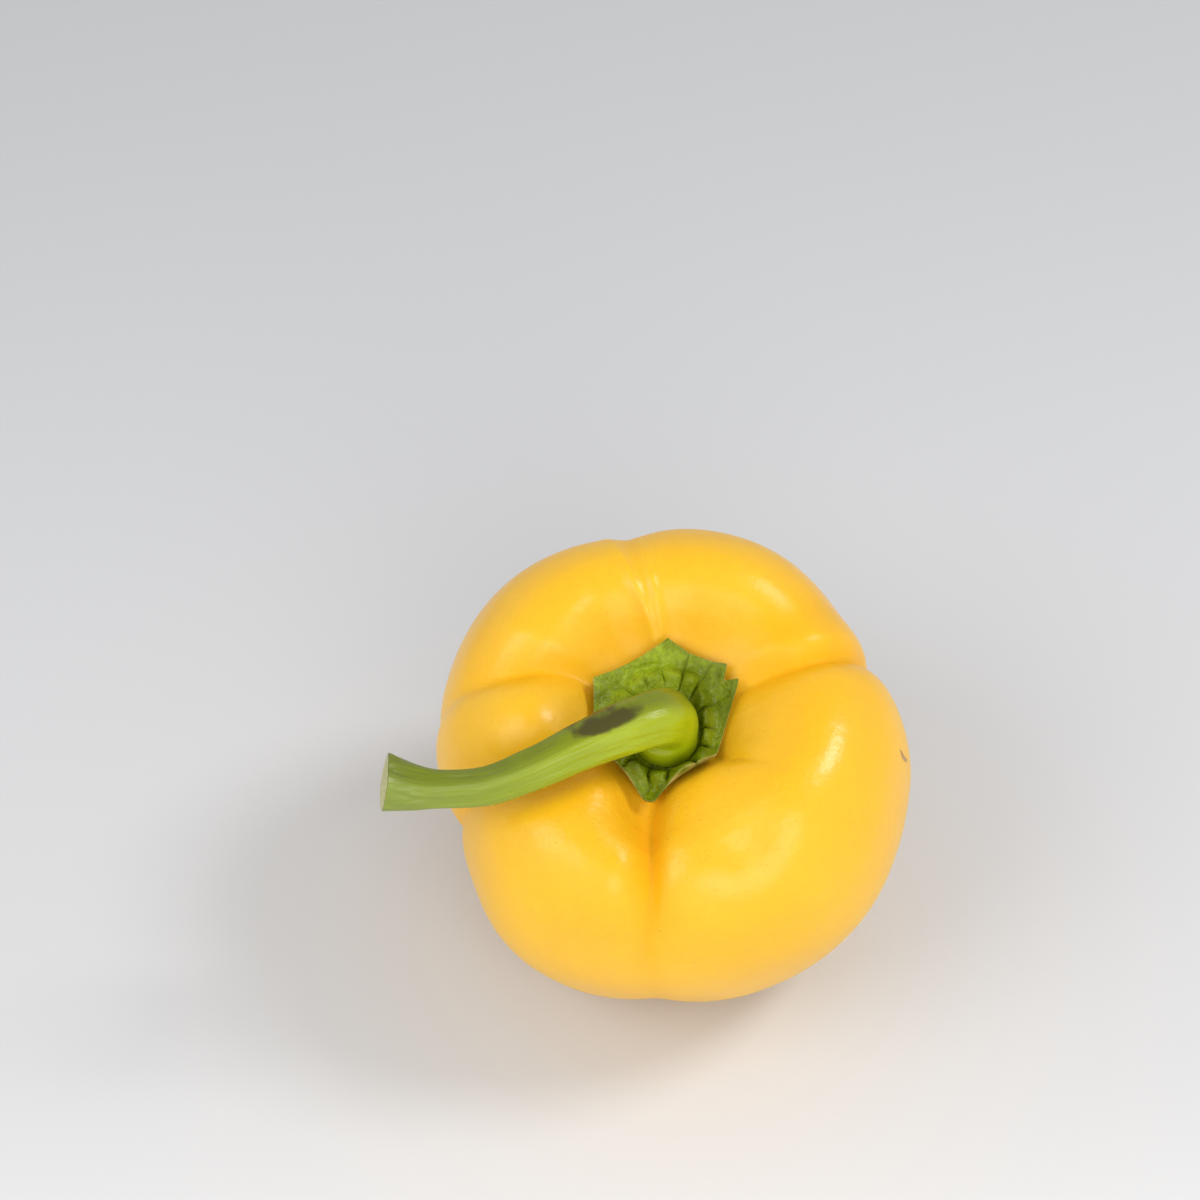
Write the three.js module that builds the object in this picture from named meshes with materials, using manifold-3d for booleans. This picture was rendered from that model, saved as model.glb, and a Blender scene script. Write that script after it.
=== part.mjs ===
// A bell pepper, as picked: the yellow fruit, the green calyx on its crown and the bent stem.
// Millimetres, +Z up. The fruit rests on the tips of its lobes and leans towards -Y.
//
// Each piece is first described in the fruit's own frame: its axis runs up through the seat of the stem,
// a heading turns counterclockwise round that axis from +X, and heights are measured from the blossom end.

import * as THREE from 'three';
import { mergeVertices } from 'three/addons/utils/BufferGeometryUtils.js';
import Module from 'manifold-3d';

const wasm = await Module();
wasm.setup();

// ---------------------------------------------------------------- driving dimensions

const WIDTH = 89;             // across the plain body, at its widest
const HEIGHT = 76;            // from the blossom end to the crest of the shoulder
const CREST_RADIUS = 27;      // from the axis to the crest
const SEAT_DEPTH = 8;         // how far the seat of the stem lies below the crest
const SEAT_RADIUS = 10;       // of the level floor of the seat
const LEAN = 20;              // degrees, of the axis towards -Y
const FLAT_DEPTH = 1.2;       // how much the tips of the lobes are flattened where the fruit rests

const GAP = 0.3;              // between neighbouring pieces
const CALYX_THICKNESS = 1.5;  // under the stem
const RIM_THICKNESS = 0.6;    // of the calyx at its rim
const RIM_LIFT = 0.35;        // how far the rim stands off the fruit, beyond the gap
const CURL = { heading: 292, halfAngle: 22, lift: 0.9 };  // where the rim curls up further
const COLLAR_HEIGHT = 2.8;    // of the puffy ring round the foot of the stem
const CALYX_RADIUS = 15;      // to the tip of a usual corner

const FOOT_RADIUS = 6.4;      // of the stem where it stands on the calyx
const FOOT_STRETCH = 0.8;     // how much longer the foot is from back to front
const FOOT_X = -0.9;          // the foot stands a little off the fruit's axis
const FOOT_Y = -2.5;
const STALK_RADIUS = 3.4;     // of the stem at its thinnest
const END_RADIUS = 4.6;       // of the flared end
const SPUR = 1.7;             // how far the flare's pointed side stands out further
const RIB_COUNT = 5;
const RIB_DEPTH = 0.22;       // of the long ribs, over the radius at which they stand
const DOME = 0.7;             // how far the cut face bulges

// ---------------------------------------------------------------- the fruit's outline

// Round lobes: heading, extra reach of the side, extra height of the crest, lift of the blossom end.
const LOBES = [
  { heading: 18, reach: 0.0, crest: 0.0, tip: 0 },
  { heading: 58, reach: 0.0, crest: 0.5, tip: -6.6 },
  { heading: 99, reach: -0.8, crest: 0.0, tip: -7.4 },
  { heading: 138, reach: 0.6, crest: 0.5, tip: -6.6 },
  { heading: 170, reach: 0.0, crest: -0.5, tip: 0 },
  { heading: 188, reach: -0.8, crest: -0.5, tip: 3 },
  { heading: 205, reach: -1.5, crest: -0.5, tip: 5 },
  { heading: 236, reach: 2.0, crest: 0.5, tip: 7 },
  { heading: 268, reach: 1.8, crest: 0.0, tip: 7 },
  { heading: 318, reach: 3.0, crest: 3.0, tip: 6.6 },
  { heading: 352, reach: 2.0, crest: 1.0, tip: 3 },
];

// Folds of the skin, which run down between the lobes: headings and depths at the stations, the width of
// the wall on the clockwise side and of the other wall, and how round the bottom is. A depth below zero is
// that of a ridge.
const FOLD_STATIONS = [2.2, 3.2, 4.4, 5.6, 7, 9, 12];
const FOLDS = [
  // the crease at the back, with a hollow on either side
  {
    headings: [97, 98, 100, 101, 100, 99, 97], depths: [0.5, 1, 1.4, 1.6, 2, 2.2, 3],
    widths: [5, 5], round: 1.5,
  },
  {
    headings: [121, 122, 120, 118, 118, 118, 118], depths: [1, 2.1, 1.7, 0.4, 0, 0, 0],
    widths: [3.5, 3.5], round: 3,
  },
  {
    headings: [80, 80, 78, 76, 76, 76, 76], depths: [0.4, 0.9, 0.6, 0.1, 0, 0, 0],
    widths: [3.5, 3.5], round: 3,
  },
  // the right-hand crease, the ridge beside it and the broad valley beyond
  {
    headings: [25, 24.5, 22, 21, 21, 19, 15], depths: [1.2, 3.2, 4.6, 4.6, 4.2, 3.2, 3],
    widths: [2.6, 6], round: 0.5,
  },
  {
    headings: [44, 39, 31, 28, 27, 26, 26], depths: [0, -0.6, -1.2, -1.2, -0.6, 0, 0],
    widths: [2.6, 2.6], round: 1.5,
  },
  {
    headings: [64, 57, 46, 41, 39, 36, 34], depths: [0.8, 1.8, 2.4, 2.4, 1.6, 0.5, 0.5],
    widths: [6, 6], round: 4,
  },
  // the front crease, a deep fold that soon fades into a broad valley down the side
  {
    headings: [259, 261, 262.5, 264, 265.5, 267, 268], depths: [2.6, 5.5, 6, 4.4, 0.9, 0, 1],
    widths: [5.5, 2.2], round: 0.5,
  },
  {
    headings: [262, 262, 264, 265, 266, 268, 268], depths: [0.4, 0.8, 1.2, 1.6, 2, 1.6, 2],
    widths: [8, 7], round: 3,
  },
  {
    headings: [246, 250, 254, 256, 261, 264, 264], depths: [0, -0.2, -0.7, -0.9, -0.5, 0, 0],
    widths: [2.2, 2.2], round: 1.5,
  },
  // the left-hand creases, either side of the small lobe
  {
    headings: [215, 214, 210, 206, 200, 195, 195], depths: [0.8, 2.5, 3.8, 4.4, 4.2, 3, 2.5],
    widths: [6, 4.5], round: 1,
  },
  {
    headings: [152, 153, 159, 167, 171, 174, 176], depths: [0.8, 3, 4.2, 3.6, 1.5, 0.9, 1],
    widths: [6.5, 2.8], round: 0.9,
  },
  {
    headings: [141, 144, 149, 151, 152, 152, 152], depths: [0, -0.8, -1.2, -0.8, 0, 0, 0],
    widths: [3, 3], round: 2,
  },
];

// Soft swellings and dents of the shoulder: heading, station along the profile, size across and along, and
// height, below zero for a dent.
const SWELLINGS = [
  { heading: 185, station: 4.6, across: 8, along: 10, height: 2.7 },
  { heading: 318, station: 3.4, across: 11, along: 8, height: 2.0 },
  { heading: 343, station: 5.2, across: 10, along: 9, height: 1.4 },
  { heading: 291, station: 3.0, across: 7, along: 6, height: 1.6 },
  { heading: 222, station: 3.5, across: 6.5, along: 8, height: 2.4 },
  { heading: 247, station: 5.6, across: 5, along: 6, height: 1.0 },
  { heading: 250, station: 3.3, across: 3, along: 5, height: -1.2 },
  { heading: 297, station: 5.5, across: 6.5, along: 6, height: -2.0 },
  { heading: 248, station: 5.7, across: 2.5, along: 7, height: -0.3 },
];
const STATION_LENGTH = 8;     // a usual length of the profile between two stations

// The profile, from the middle of the seat over the crest and down the side to the blossom end.
const SEAT_HEIGHT = HEIGHT - SEAT_DEPTH;

function inHollow(across, up) {
  return [SEAT_RADIUS + across * (CREST_RADIUS - SEAT_RADIUS), SEAT_HEIGHT + up * SEAT_DEPTH];
}

function onBody(out, up) {
  return [out * WIDTH / 2, up * HEIGHT];
}

const PROFILE = [
  [0, SEAT_HEIGHT], [SEAT_RADIUS * 0.55, SEAT_HEIGHT], inHollow(0, 0.08), inHollow(0.3, 0.4),
  inHollow(0.62, 0.8), inHollow(1, 1), onBody(0.775, 0.968), onBody(0.92, 0.868), onBody(1, 0.697),
  onBody(0.99, 0.5), onBody(0.89, 0.29), onBody(0.72, 0.118), onBody(0.495, 0.02), onBody(0.247, 0.053),
  onBody(0, 0.105),
];
const LAST_STATION = PROFILE.length - 1;
const CREST_STATION = 5;

// ---------------------------------------------------------------- the calyx's outline

// Corners of the rim: heading, radius over the usual one, and how far the edge after it bays in.
const CORNERS = [
  { heading: 29.4, extra: -0.3, bay: 0.06 },
  { heading: 43, extra: -0.4, bay: 0.05 },
  { heading: 90, extra: 0.0, bay: 0.06 },
  { heading: 152, extra: 0.3, bay: 0.0 },
  { heading: 180, extra: -1.2, bay: 0.0 },
  { heading: 219, extra: -1.0, bay: 0.02 },
  { heading: 258, extra: 1.5, bay: -0.01 },
  { heading: 317, extra: -2.8, bay: 0.0 },
];
const NOTCH = { heading: 35, depth: 1.2, halfAngle: 4 };

// Puffs of the collar round the stem: heading of the groove before each, how full it is, how far out its
// crest is from the foot, and how much of the groove goes on over the flange.
const PUFFS = [
  { heading: 2, full: 0.8, crest: 1.3, goesOn: 0.2 },
  { heading: 27, full: 0.9, crest: 2.6, goesOn: 0.6 },
  { heading: 50, full: 0.8, crest: 3.4, goesOn: 0.8 },
  { heading: 70, full: 0.6, crest: 3.2, goesOn: 1.1 },
  { heading: 92, full: 0.45, crest: 3.0, goesOn: 0.1 },
  { heading: 112, full: 0.45, crest: 2.8, goesOn: 0.1 },
  { heading: 132, full: 0.6, crest: 2.6, goesOn: 1.0 },
  { heading: 160, full: 0.5, crest: 2.2, goesOn: 0.2 },
  { heading: 185, full: 0.6, crest: 2.0, goesOn: 0.2 },
  { heading: 205, full: 0.8, crest: 2.0, goesOn: 0.2 },
  { heading: 224, full: 1.0, crest: 2.1, goesOn: 0.2 },
  { heading: 252, full: 1.0, crest: 2.2, goesOn: 0.7 },
  { heading: 273, full: 1.0, crest: 2.0, goesOn: 0.2 },
  { heading: 310, full: 1.0, crest: 1.8, goesOn: 0.2 },
  { heading: 340, full: 0.9, crest: 1.3, goesOn: 0.2 },
];
const GROOVE_DEPTH = 0.9;     // of a groove where it goes on over the flange
const FLANGE_RISE = 0.3;      // of the flange between the grooves

// ---------------------------------------------------------------- the stem's course

const FOOT_HEIGHT = SEAT_HEIGHT + GAP + CALYX_THICKNESS + GAP;

// Points of the middle line: x, y, height over the foot or over the crest, and radius.
const STEM = [
  [FOOT_X, FOOT_Y, FOOT_HEIGHT, FOOT_RADIUS],
  [FOOT_X, FOOT_Y, FOOT_HEIGHT + 2.0, FOOT_RADIUS - 0.2],
  [FOOT_X + 0.1, FOOT_Y, FOOT_HEIGHT + 4.0, FOOT_RADIUS - 0.3],
  [FOOT_X - 0.4, FOOT_Y - 0.2, FOOT_HEIGHT + 6.2, FOOT_RADIUS - 0.6],
  [-3.4, -4.1, HEIGHT + 3.2, STALK_RADIUS + 1.9],
  [-9.0, -6.8, HEIGHT + 5.4, STALK_RADIUS + 1.4],
  [-16.5, -10.4, HEIGHT + 6.2, STALK_RADIUS + 0.8],
  [-24.5, -14.2, HEIGHT + 5.6, STALK_RADIUS + 0.3],
  [-33.0, -16.6, HEIGHT + 3.4, STALK_RADIUS],
  [-41.3, -16.4, HEIGHT + 1.1, STALK_RADIUS],
  [-47.4, -16.1, HEIGHT + 0.5, (STALK_RADIUS + END_RADIUS) / 2],
  [-51.5, -15.9, HEIGHT + 1.2, END_RADIUS],
];
const TURN_SPREAD = 0.8;      // how far along the course a section looks for its direction
const PINCH = { place: 3.5, depth: 1.2 };  // how far the inner side of the bend is drawn in
const ACROSS_STEM = new THREE.Vector3(0.35, -0.94, 0);  // a direction that the stem never runs along

// ---------------------------------------------------------------- mesh sizes

const FRUIT_HEADINGS = 84;
const FRUIT_ROWS = 54;
const CALYX_HEADINGS = 72;
const CALYX_ROWS = 34;
const STEM_SIDES = 20;
const STEM_ROWS = 40;

// ---------------------------------------------------------------- curves and fields

const { clamp, degToRad, euclideanModulo, lerp, radToDeg, smoothstep } = THREE.MathUtils;

// The value of a row of numbers at a place between its points, on a smooth curve through them.
function through(points, place) {
  const last = points.length - 1;
  const first = clamp(Math.floor(place), 0, last - 1);
  const t = place - first;
  const [a, b, c, d] = [-1, 0, 1, 2].map((step) => points[clamp(first + step, 0, last)]);
  return b.map((value, k) => {
    const leave = (c[k] - a[k]) / 2;
    const arrive = (d[k] - b[k]) / 2;
    const cubic = 2 * value - 2 * c[k] + leave + arrive;
    const square = -3 * value + 3 * c[k] - 2 * leave - arrive;
    return ((cubic * t + square) * t + leave) * t + value;
  });
}

// Straight lines between values that stand at the given stations.
function between(stations, values, place) {
  const x = clamp(place, stations[0], stations[stations.length - 1]);
  const next = Math.max(1, stations.findIndex((station) => station >= x));
  const t = (x - stations[next - 1]) / (stations[next] - stations[next - 1]);
  return values[next - 1] + t * (values[next] - values[next - 1]);
}

// The turn in degrees from one heading to another, between -180 and 180.
function turnFrom(start, heading) {
  return euclideanModulo(heading - start + 180, 360) - 180;
}

function bell(distance, halfWidth) {
  return Math.exp(-((distance / halfWidth) ** 2));
}

// The entry of a list round the axis that a heading follows, the next entry, and the share between them.
function sector(list, heading) {
  const k = list.findIndex((entry, i) => {
    const next = list[(i + 1) % list.length];
    const span = euclideanModulo(next.heading - entry.heading, 360);
    return euclideanModulo(heading - entry.heading, 360) < span;
  });
  const entry = list[k];
  const next = list[(k + 1) % list.length];
  const span = euclideanModulo(next.heading - entry.heading, 360);
  return { entry, next, span, share: euclideanModulo(heading - entry.heading, 360) / span };
}

// One of the lobes' values at a heading, eased from lobe to lobe.
function ofLobes(key, heading) {
  const { entry, next, share } = sector(LOBES, heading);
  return entry[key] + (next[key] - entry[key]) * (1 - Math.cos(Math.PI * share)) / 2;
}

// ---------------------------------------------------------------- the fruit's skin

const SIDE_STATION = 8.6;
const SIDE_SPREAD = 2.8;
const CREST_SPREAD = 1.6;
const TIP_STATION = 10.6;
const TIP_SPREAD = 0.6;
const TIP_RADIUS = 22;        // where the blossom end's lift reaches its full size

// Radius and height of the lobed body without its creases.
function bodyAt(heading, station) {
  const [radius, height] = through(PROFILE, station);
  const onSide = bell(station - SIDE_STATION, SIDE_SPREAD);
  const onCrest = bell(station - CREST_STATION - 0.2, CREST_SPREAD);
  const onTip = 1 / (1 + Math.exp((TIP_STATION - station) / TIP_SPREAD));
  const wide = radius + ofLobes('reach', heading) * onSide;
  const high = height + ofLobes('crest', heading) * onCrest;
  return [wide, high + ofLobes('tip', heading) * onTip * clamp(wide / TIP_RADIUS, 0, 1)];
}

// A fold's heading or depth at a station, eased from one given value to the next.
function alongFold(values, station, atSeat, atTip) {
  const stations = [0, ...FOLD_STATIONS, LAST_STATION];
  const shifts = [-0.6, -0.2, 0.2, 0.6];
  const sum = shifts.reduce(
    (total, shift) => total + between(stations, [atSeat, ...values, atTip], station + shift), 0);
  return sum / shifts.length;
}

// How far the skin stands out of the plain body: folds, by a share of their depth, and swellings.
function reliefAt(heading, station, radius, foldShare) {
  const arm = Math.max(radius, 1);
  let relief = 0;
  for (const { headings, depths, widths, round } of FOLDS) {
    const middle = alongFold(headings, station, headings[0], headings[headings.length - 1]);
    const depth = alongFold(depths, station, 0, 0);
    const across = degToRad(turnFrom(middle, heading)) * arm;
    const width = across < 0 ? widths[0] : widths[1];
    relief -= foldShare * depth * Math.exp((round - Math.hypot(across, round)) / width);
  }
  for (const { heading: middle, station: place, across, along, height } of SWELLINGS) {
    const aside = degToRad(turnFrom(middle, heading)) * arm;
    relief += height * bell(aside, across) * bell((station - place) * STATION_LENGTH, along);
  }
  return relief;
}

// A point of the skin, in the fruit's frame.
function skinAt(heading, station, foldShare = 1) {
  const step = 0.02;
  const [radius, height] = bodyAt(heading, station);
  const before = bodyAt(heading, clamp(station - step, 0, LAST_STATION));
  const after = bodyAt(heading, clamp(station + step, 0, LAST_STATION));
  const run = [after[0] - before[0], after[1] - before[1]];
  const length = Math.hypot(...run);
  const relief = reliefAt(heading, station, radius, foldShare);
  const reach = Math.max(radius - run[1] / length * relief, 0);
  const angle = degToRad(heading);
  return new THREE.Vector3(
    reach * Math.cos(angle), reach * Math.sin(angle), height + run[0] / length * relief);
}

// The station inside the crest at which the profile has a radius.
function stationOf(radius) {
  let low = 0;
  let high = CREST_STATION;
  for (let halving = 0; halving < 30; halving += 1) {
    const middle = (low + high) / 2;
    if (through(PROFILE, middle)[0] < radius) {
      low = middle;
    } else {
      high = middle;
    }
  }
  return (low + high) / 2;
}

// ---------------------------------------------------------------- the calyx's two faces

const FLAT_RADIUS = FOOT_RADIUS + 0.9;   // level for the foot of the stem, and a little clear of it
const FOLD_DRAPE = 0.35;                 // how far the calyx follows the folds that it lies over
const LIFT_FROM = 0.7;                   // share of the way to the rim at which it starts to lift
const COLLAR_SPREAD = 1.7;               // of the collar's outer side

// Radius of the rim: straight from corner to corner, but for the bays and one notch.
function rimAt(heading) {
  const { entry, next, span, share } = sector(CORNERS, heading);
  const [from, to] = [CALYX_RADIUS + entry.extra, CALYX_RADIUS + next.extra];
  const whole = degToRad(span);
  const chord = from * to * Math.sin(whole)
    / (from * Math.sin(share * whole) + to * Math.sin((1 - share) * whole));
  const bay = 1 - entry.bay * 4 * share * (1 - share);
  return chord * bay - NOTCH.depth * bell(turnFrom(NOTCH.heading, heading), NOTCH.halfAngle);
}

// At a heading round the foot: how full the collar is, how deep its groove, how far out its crest, and how
// much of the groove goes on over the flange.
function collarAt(heading) {
  const { entry, next, share } = sector(PUFFS, heading);
  const groove = entry.full * (1 - Math.max(0, 1 - (2 * share - 1) ** 2) ** 0.6);
  const eased = (key) => lerp(entry[key], next[key], share);
  return { full: entry.full, groove, crest: FOOT_RADIUS + eased('crest'), goesOn: eased('goesOn') };
}

function calyxPoint(heading, share, onTop) {
  const rim = rimAt(heading);
  const radius = share * rim;
  const point = skinAt(heading, stationOf(radius), FOLD_DRAPE);
  const lift = RIM_LIFT + CURL.lift * bell(turnFrom(CURL.heading, heading), CURL.halfAngle);
  point.z += GAP + lift * smoothstep(share, LIFT_FROM, 1);
  if (!onTop) {
    return point;
  }
  const ahead = point.x - FOOT_X;
  const aside = (point.y - FOOT_Y) * FOOT_RADIUS / (FOOT_RADIUS + FOOT_STRETCH);
  const fromFoot = Math.hypot(ahead, aside);
  const outward = clamp((radius - FLAT_RADIUS) / (rim - FLAT_RADIUS), 0, 1);
  const { full, groove, crest, goesOn } = collarAt(radToDeg(Math.atan2(aside, ahead)));
  const spread = fromFoot < crest ? 0.8 + 0.25 * (crest - FOOT_RADIUS) : COLLAR_SPREAD;
  const onFlange = smoothstep(fromFoot, crest, crest + 2.5);
  const dip = groove * (1 - onFlange * (1 - goesOn));
  const collar = COLLAR_HEIGHT * (0.15 + 0.85 * full - 0.85 * dip) * bell(fromFoot - crest, spread);
  const ripple = FLANGE_RISE - GROOVE_DEPTH * dip * onFlange * (1 - 0.6 * smoothstep(share, 0.85, 1));
  const thickness = CALYX_THICKNESS + (RIM_THICKNESS - CALYX_THICKNESS) * outward;
  const free = point.z + thickness + collar + ripple;
  const level = SEAT_HEIGHT + GAP + CALYX_THICKNESS;
  point.z = lerp(level, free, smoothstep(fromFoot, FLAT_RADIUS, FLAT_RADIUS + 1));
  return point;
}

// ---------------------------------------------------------------- the stem's sections

// A point of the stem: side angle round the section, place along the course, and share of the radius.
function stemPoint(angle, place, share) {
  const last = STEM.length - 1;
  const [x, y, z, radius] = through(STEM, place);
  const ahead = through(STEM, clamp(place + TURN_SPREAD, 0, last));
  const behind = through(STEM, clamp(place - TURN_SPREAD, 0, last));
  const along = new THREE.Vector3(...ahead.slice(0, 3)).sub(new THREE.Vector3(...behind.slice(0, 3)));
  along.normalize();
  const side = ACROSS_STEM.clone().addScaledVector(along, -ACROSS_STEM.dot(along)).normalize();
  const other = new THREE.Vector3().crossVectors(side, along);
  const flare = smoothstep(place, last - 2.2, last);
  const pointed = SPUR * flare * Math.max(0, -Math.cos(angle)) ** 3;
  const stretch = FOOT_STRETCH * Math.cos(angle) ** 2 * (1 - smoothstep(place, 0.5, 3.2));
  const pinch = PINCH.depth * Math.max(0, Math.sin(angle)) ** 2 * bell(place - PINCH.place, 1);
  const ribs = RIB_DEPTH * Math.cos(RIB_COUNT * angle) * smoothstep(place, 0.5, 4);
  const reach = share * (radius + ribs + pointed + stretch - pinch);
  const point = new THREE.Vector3(x, y, z);
  point.addScaledVector(side, reach * Math.cos(angle));
  point.addScaledVector(other, reach * Math.sin(angle));
  if (place === last) {
    point.addScaledVector(along, DOME * (1 - share * share));
  }
  return point;
}

// ---------------------------------------------------------------- solids

// Moves every corner of a closed geometry by a function, and merges the corners that fall together.
function reshape(geometry, move) {
  geometry.deleteAttribute('normal');
  geometry.deleteAttribute('uv');
  const corners = geometry.attributes.position;
  const corner = new THREE.Vector3();
  for (let i = 0; i < corners.count; i += 1) {
    corner.fromBufferAttribute(corners, i);
    const moved = move(corner);
    corners.setXYZ(i, moved.x, moved.y, moved.z);
  }
  return mergeVertices(geometry, 1e-4);
}

// A ball whose corners are handed on as heading in degrees and share of the way from top to bottom.
function fromBall(headings, rows, place) {
  const ball = new THREE.SphereGeometry(1, headings, rows);
  ball.rotateX(Math.PI / 2);
  return reshape(ball, (corner) => {
    const heading = Math.hypot(corner.x, corner.y) < 1e-6 ? 0 : radToDeg(Math.atan2(corner.y, corner.x));
    return place(heading, Math.acos(clamp(corner.z, -1, 1)) / Math.PI);
  });
}

function makeFruit() {
  return fromBall(FRUIT_HEADINGS, FRUIT_ROWS, (heading, down) => skinAt(heading, down * LAST_STATION));
}

// The upper half of the ball becomes the upper face, and the lower half the underside.
function makeCalyx() {
  return fromBall(CALYX_HEADINGS, CALYX_ROWS, (heading, down) => {
    const share = down <= 0.5 ? down * 2 : (1 - down) * 2;
    return calyxPoint(heading, clamp(share, 0, 1), down < 0.5 - 1e-6);
  });
}

function makeStem() {
  const rod = new THREE.CylinderGeometry(1, 1, 1, STEM_SIDES, STEM_ROWS);
  return reshape(rod, (corner) => {
    const place = clamp(corner.y + 0.5, 0, 1) * (STEM.length - 1);
    const angle = Math.atan2(corner.z, corner.x);
    return stemPoint(angle, place, Math.min(1, Math.hypot(corner.x, corner.z)));
  });
}

function toSolid(geometry) {
  return new wasm.Manifold(new wasm.Mesh({
    numProp: 3,
    vertProperties: new Float32Array(geometry.attributes.position.array),
    triVerts: new Uint32Array(geometry.index.array),
  }));
}

function toGeometry(solid) {
  const mesh = solid.getMesh();
  const geometry = new THREE.BufferGeometry();
  geometry.setAttribute('position', new THREE.BufferAttribute(new Float32Array(mesh.vertProperties), 3));
  geometry.setIndex(new THREE.BufferAttribute(new Uint32Array(mesh.triVerts), 1));
  return geometry;
}

// Takes away everything below the ground.
function cutLevel(geometry) {
  const block = new THREE.BoxGeometry(4 * WIDTH, 4 * WIDTH, HEIGHT);
  block.translate(0, 0, -HEIGHT / 2);
  block.deleteAttribute('normal');
  block.deleteAttribute('uv');
  return toGeometry(toSolid(geometry).subtract(toSolid(mergeVertices(block, 1e-4))));
}

// ---------------------------------------------------------------- the pepper

function makePiece(name, geometry, colour, roughness) {
  geometry.computeVertexNormals();
  const material = new THREE.MeshStandardMaterial({ color: colour, roughness, metalness: 0 });
  const piece = new THREE.Mesh(geometry, material);
  piece.name = name;
  return piece;
}

const shapes = { fruit: makeFruit(), calyx: makeCalyx(), stem: makeStem() };
for (const shape of Object.values(shapes)) {
  shape.rotateX(degToRad(LEAN));
}
shapes.fruit.computeBoundingBox();
const ground = shapes.fruit.boundingBox.min.z + FLAT_DEPTH;
for (const shape of Object.values(shapes)) {
  shape.translate(0, 0, -ground);
}
shapes.fruit = cutLevel(shapes.fruit);

const pepper = new THREE.Group();
pepper.add(
  makePiece('fruit', shapes.fruit, 0xf7b52e, 0.3),
  makePiece('calyx', shapes.calyx, 0x5c7d16, 0.5),
  makePiece('stem', shapes.stem, 0x93a63a, 0.45),
);

// The origin lies on the ground, under the middle of the whole pepper's box.
const middle = new THREE.Box3().setFromObject(pepper).getCenter(new THREE.Vector3());
pepper.position.set(-middle.x, -middle.y, 0);

export default pepper;
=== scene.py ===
"""The looks of a bell pepper: its waxy yellow fruit, its crinkled calyx and its bent, ribbed stem.

The shapes are worked out in millimetres in the fruit's own frame: its axis runs up through the seat of
the stem, a heading turns counterclockwise round that axis, with 0 to the right and 90 to the back, and
heights are measured from the blossom end. A station is a place along the profile, counted in its rows.
Each piece is then leaned and set down, in metres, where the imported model's fruit stands.
"""

import math

import bpy
import numpy as np
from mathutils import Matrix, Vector


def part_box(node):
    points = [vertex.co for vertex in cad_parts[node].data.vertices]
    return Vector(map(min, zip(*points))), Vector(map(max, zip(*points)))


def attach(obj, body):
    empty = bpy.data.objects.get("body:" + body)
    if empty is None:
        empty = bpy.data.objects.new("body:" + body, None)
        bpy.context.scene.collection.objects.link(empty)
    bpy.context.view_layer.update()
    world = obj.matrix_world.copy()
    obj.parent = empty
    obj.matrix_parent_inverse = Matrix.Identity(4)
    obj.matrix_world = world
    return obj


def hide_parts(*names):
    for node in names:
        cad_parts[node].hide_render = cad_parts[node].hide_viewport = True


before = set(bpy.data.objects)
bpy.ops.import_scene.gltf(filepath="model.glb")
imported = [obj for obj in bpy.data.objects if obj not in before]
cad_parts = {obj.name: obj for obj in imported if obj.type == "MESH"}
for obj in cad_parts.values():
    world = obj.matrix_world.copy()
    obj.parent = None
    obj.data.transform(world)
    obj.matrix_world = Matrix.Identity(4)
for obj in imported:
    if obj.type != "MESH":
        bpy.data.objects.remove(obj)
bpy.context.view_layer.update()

METRES = 0.001                # in a millimetre

# ---------------------------------------------------------------- sizes of the fruit

WIDTH = 89                    # across the plain body, at its widest
HEIGHT = 76                   # from the blossom end to the crest of the shoulder
CREST_RADIUS = 27
SEAT_DEPTH = 8                # how far the seat of the stem lies below the crest
SEAT_RADIUS = 10
LEAN = 20                     # degrees, of the axis towards -Y
FLAT_DEPTH = 1.2              # how much of the lowest tip is flattened where it stands
SEAT_HEIGHT = HEIGHT - SEAT_DEPTH

CREST_STATION = 5
STATION_LENGTH = 8            # from one station to the next along the skin, about

# heading, extra reach of the side, extra height of the crest, lift of the blossom end
LOBES = [
    (18, 0.0, 0.0, 0.0), (58, 0.0, 0.5, -6.6), (99, -0.8, 0.0, -7.4), (138, 0.6, 0.5, -6.6),
    (170, 0.0, -0.5, 0.0), (188, -0.8, -0.5, 3.0), (205, -1.5, -0.5, 5.0), (236, 2.0, 0.5, 7.0),
    (268, 1.8, 0.0, 7.0), (318, 3.0, 3.0, 6.6), (352, 2.0, 1.0, 3.0),
]
LOBE_SIDE = (8.6, 2.8)        # station where the lobes reach out, and for how many stations
LOBE_CREST = (CREST_STATION + 0.2, 1.6)
LOBE_TIP = (10.6, 0.6)        # station where the tips begin, and how gently
TIP_RADIUS = 22               # inside it the tips fade towards the axis

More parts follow.
